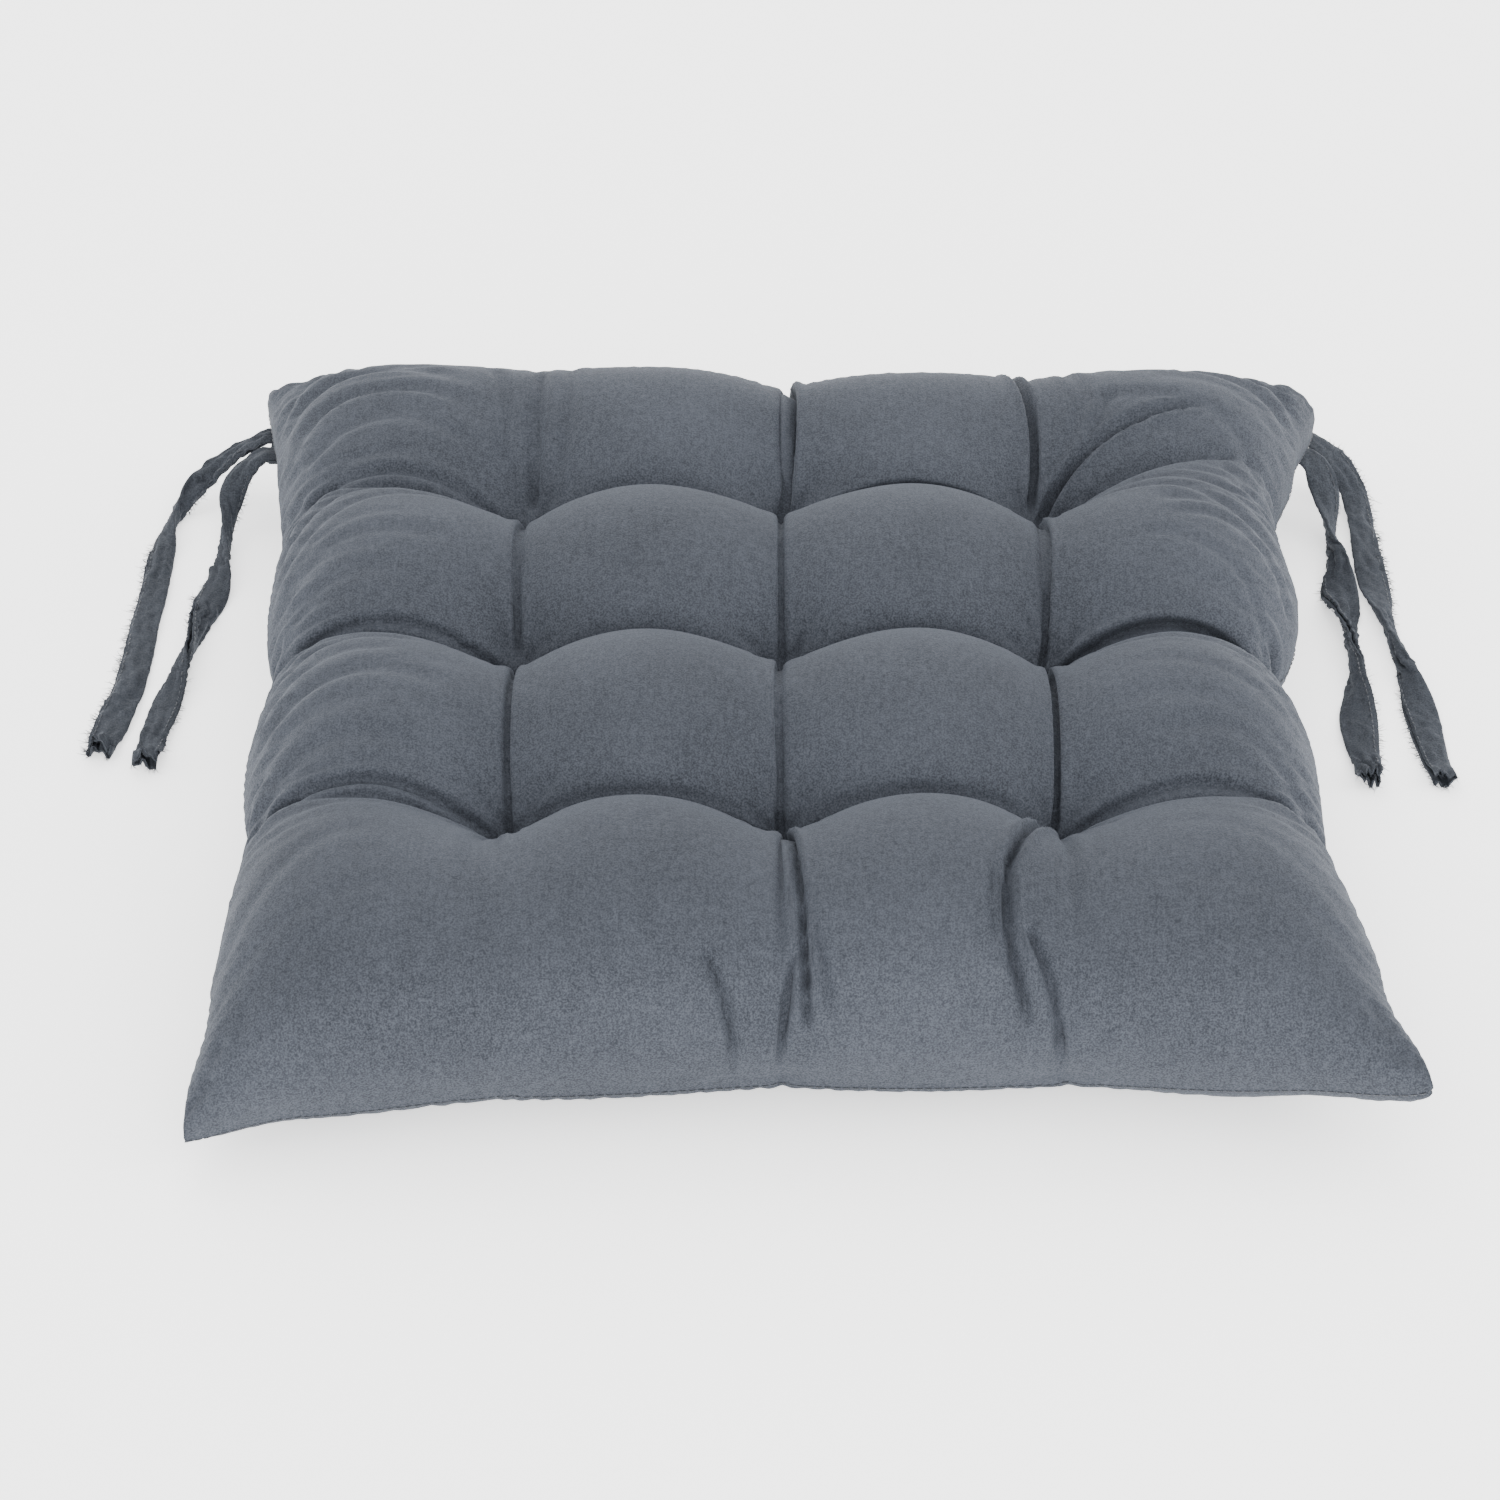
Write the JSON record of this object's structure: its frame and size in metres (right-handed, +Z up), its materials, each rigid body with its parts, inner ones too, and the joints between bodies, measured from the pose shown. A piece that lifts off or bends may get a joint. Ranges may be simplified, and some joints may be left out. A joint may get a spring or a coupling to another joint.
{
  "type": "chair seat pad",
  "caption": "Square knife-edge seat pad, tufted into puffs with stitched dimples and no buttons, with fabric ties at both rear corners.",
  "frame": {"origin": "middle of the pad on the surface it lies on, at the bottom centre of the pad's box without its ties", "axes": "+X to the sitter's right, +Y to the chair's back, where the ties are, +Z up"},
  "size_m": [0.4964, 0.4013, 0.0902],
  "materials": {
    "cover_cloth": "matte",
    "tie_cloth": "matte",
    "sewing_thread": "matte",
    "filling_fibre": "matte"
  },
  "bodies": {
    "pad": {"cover_bottom": "cover_cloth", "cover_top": "cover_cloth", "edge_seam_bobbin_thread": "sewing_thread", "edge_seam_needle_thread": "sewing_thread", "fibre_filling": "filling_fibre", "tie_bar_tack_left": "sewing_thread", "tie_bar_tack_right": "sewing_thread", "tie_fold_left": "tie_cloth", "tie_fold_right": "tie_cloth", "tuft_thread_front_centre": "sewing_thread", "tuft_thread_front_left": "sewing_thread", "tuft_thread_front_right": "sewing_thread", "tuft_thread_middle_centre": "sewing_thread", "tuft_thread_middle_left": "sewing_thread", "tuft_thread_middle_right": "sewing_thread", "tuft_thread_rear_centre": "sewing_thread", "tuft_thread_rear_left": "sewing_thread", "tuft_thread_rear_right": "sewing_thread"},
    "outer_left_tie": {"tie_outer_left": "tie_cloth", "tie_stitch_outer_left": "sewing_thread"},
    "inner_left_tie": {"tie_inner_left": "tie_cloth", "tie_stitch_inner_left": "sewing_thread"},
    "inner_right_tie": {"tie_inner_right": "tie_cloth", "tie_stitch_inner_right": "sewing_thread"},
    "outer_right_tie": {"tie_outer_right": "tie_cloth", "tie_stitch_outer_right": "sewing_thread"}
  },
  "joints": [
    {"name": "outer_left_tie_lift", "type": "hinge", "parent": "pad", "child": "outer_left_tie", "pos_m": [-0.2022, 0.196, 0.025], "axis": [-1, 0, 0], "range_deg": [0, 100]},
    {"name": "inner_left_tie_lift", "type": "hinge", "parent": "pad", "child": "inner_left_tie", "pos_m": [-0.2022, 0.183, 0.025], "axis": [-1, 0, 0], "range_deg": [0, 100]},
    {"name": "inner_right_tie_lift", "type": "hinge", "parent": "pad", "child": "inner_right_tie", "pos_m": [0.2022, 0.183, 0.025], "axis": [-1, 0, 0], "range_deg": [0, 100]},
    {"name": "outer_right_tie_lift", "type": "hinge", "parent": "pad", "child": "outer_right_tie", "pos_m": [0.2022, 0.196, 0.025], "axis": [-1, 0, 0], "range_deg": [0, 100]}
  ]
}
